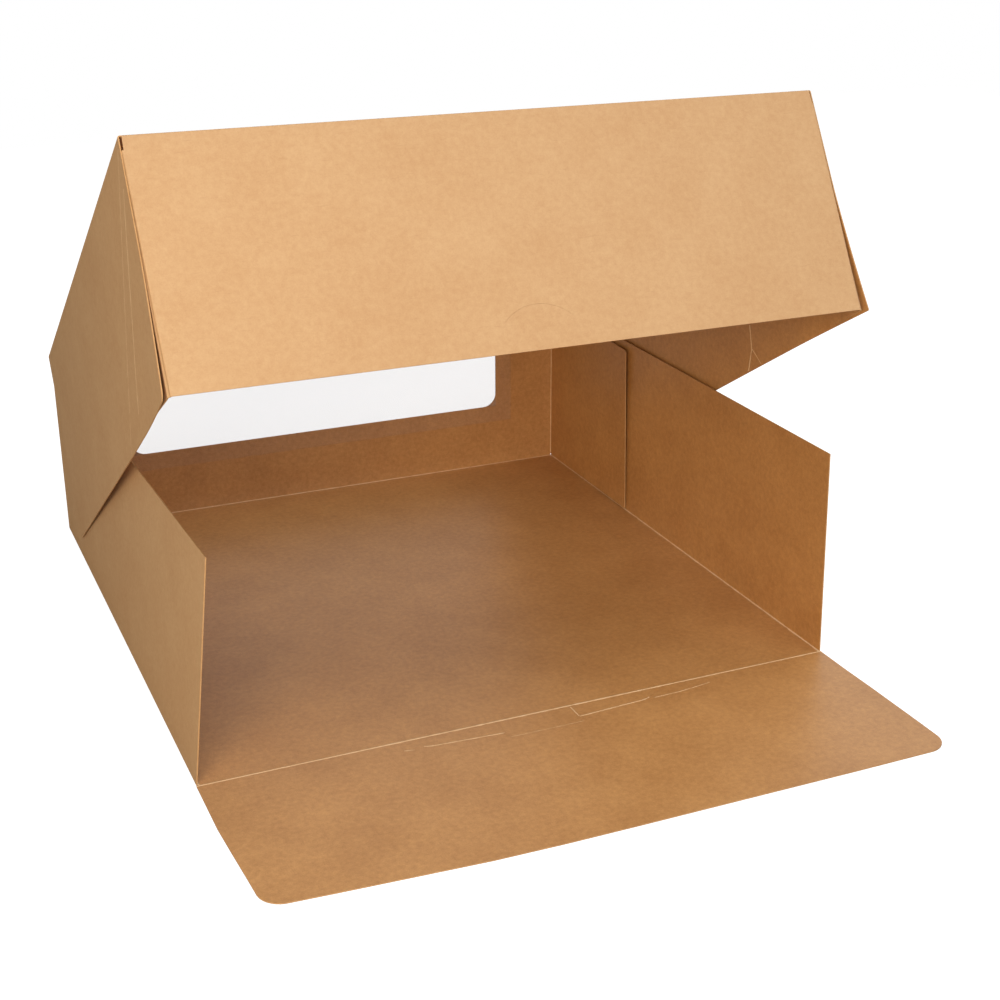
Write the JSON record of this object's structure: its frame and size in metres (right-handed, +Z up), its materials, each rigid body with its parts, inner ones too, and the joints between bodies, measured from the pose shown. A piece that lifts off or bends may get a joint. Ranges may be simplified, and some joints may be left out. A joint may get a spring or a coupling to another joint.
{
  "type": "cake box with window",
  "caption": "Square folding kraft board cake box, open, with a hinged lid, a drop-down front panel and a film window from the back wall into the lid.",
  "frame": {"origin": "centre of the base's underside, on the surface that the box stands on", "axes": "+X to the box's right, +Y towards the back wall that carries the lid, +Z up"},
  "size_m": [0.3071, 0.3975, 0.2558],
  "materials": {
    "kraft_board": "matte outside, slightly glossy inside",
    "window_film": "clear"
  },
  "bodies": {
    "tray": {"tray": "kraft_board", "window_film_back": "window_film"},
    "lid": {"lid": "kraft_board", "window_film_lid": "window_film"},
    "front_panel": {"front_panel": "kraft_board"}
  },
  "joints": [
    {"name": "lid_hinge", "type": "hinge", "parent": "tray", "child": "lid", "pos_m": [0, 0.14975, 0.10105], "axis": [-1, 0, 0], "range_deg": [-30.8, 149.2]},
    {"name": "front_panel_hinge", "type": "hinge", "parent": "tray", "child": "front_panel", "pos_m": [0, -0.15, 0.00025], "axis": [-1, 0, 0], "range_deg": [0, 90]}
  ]
}
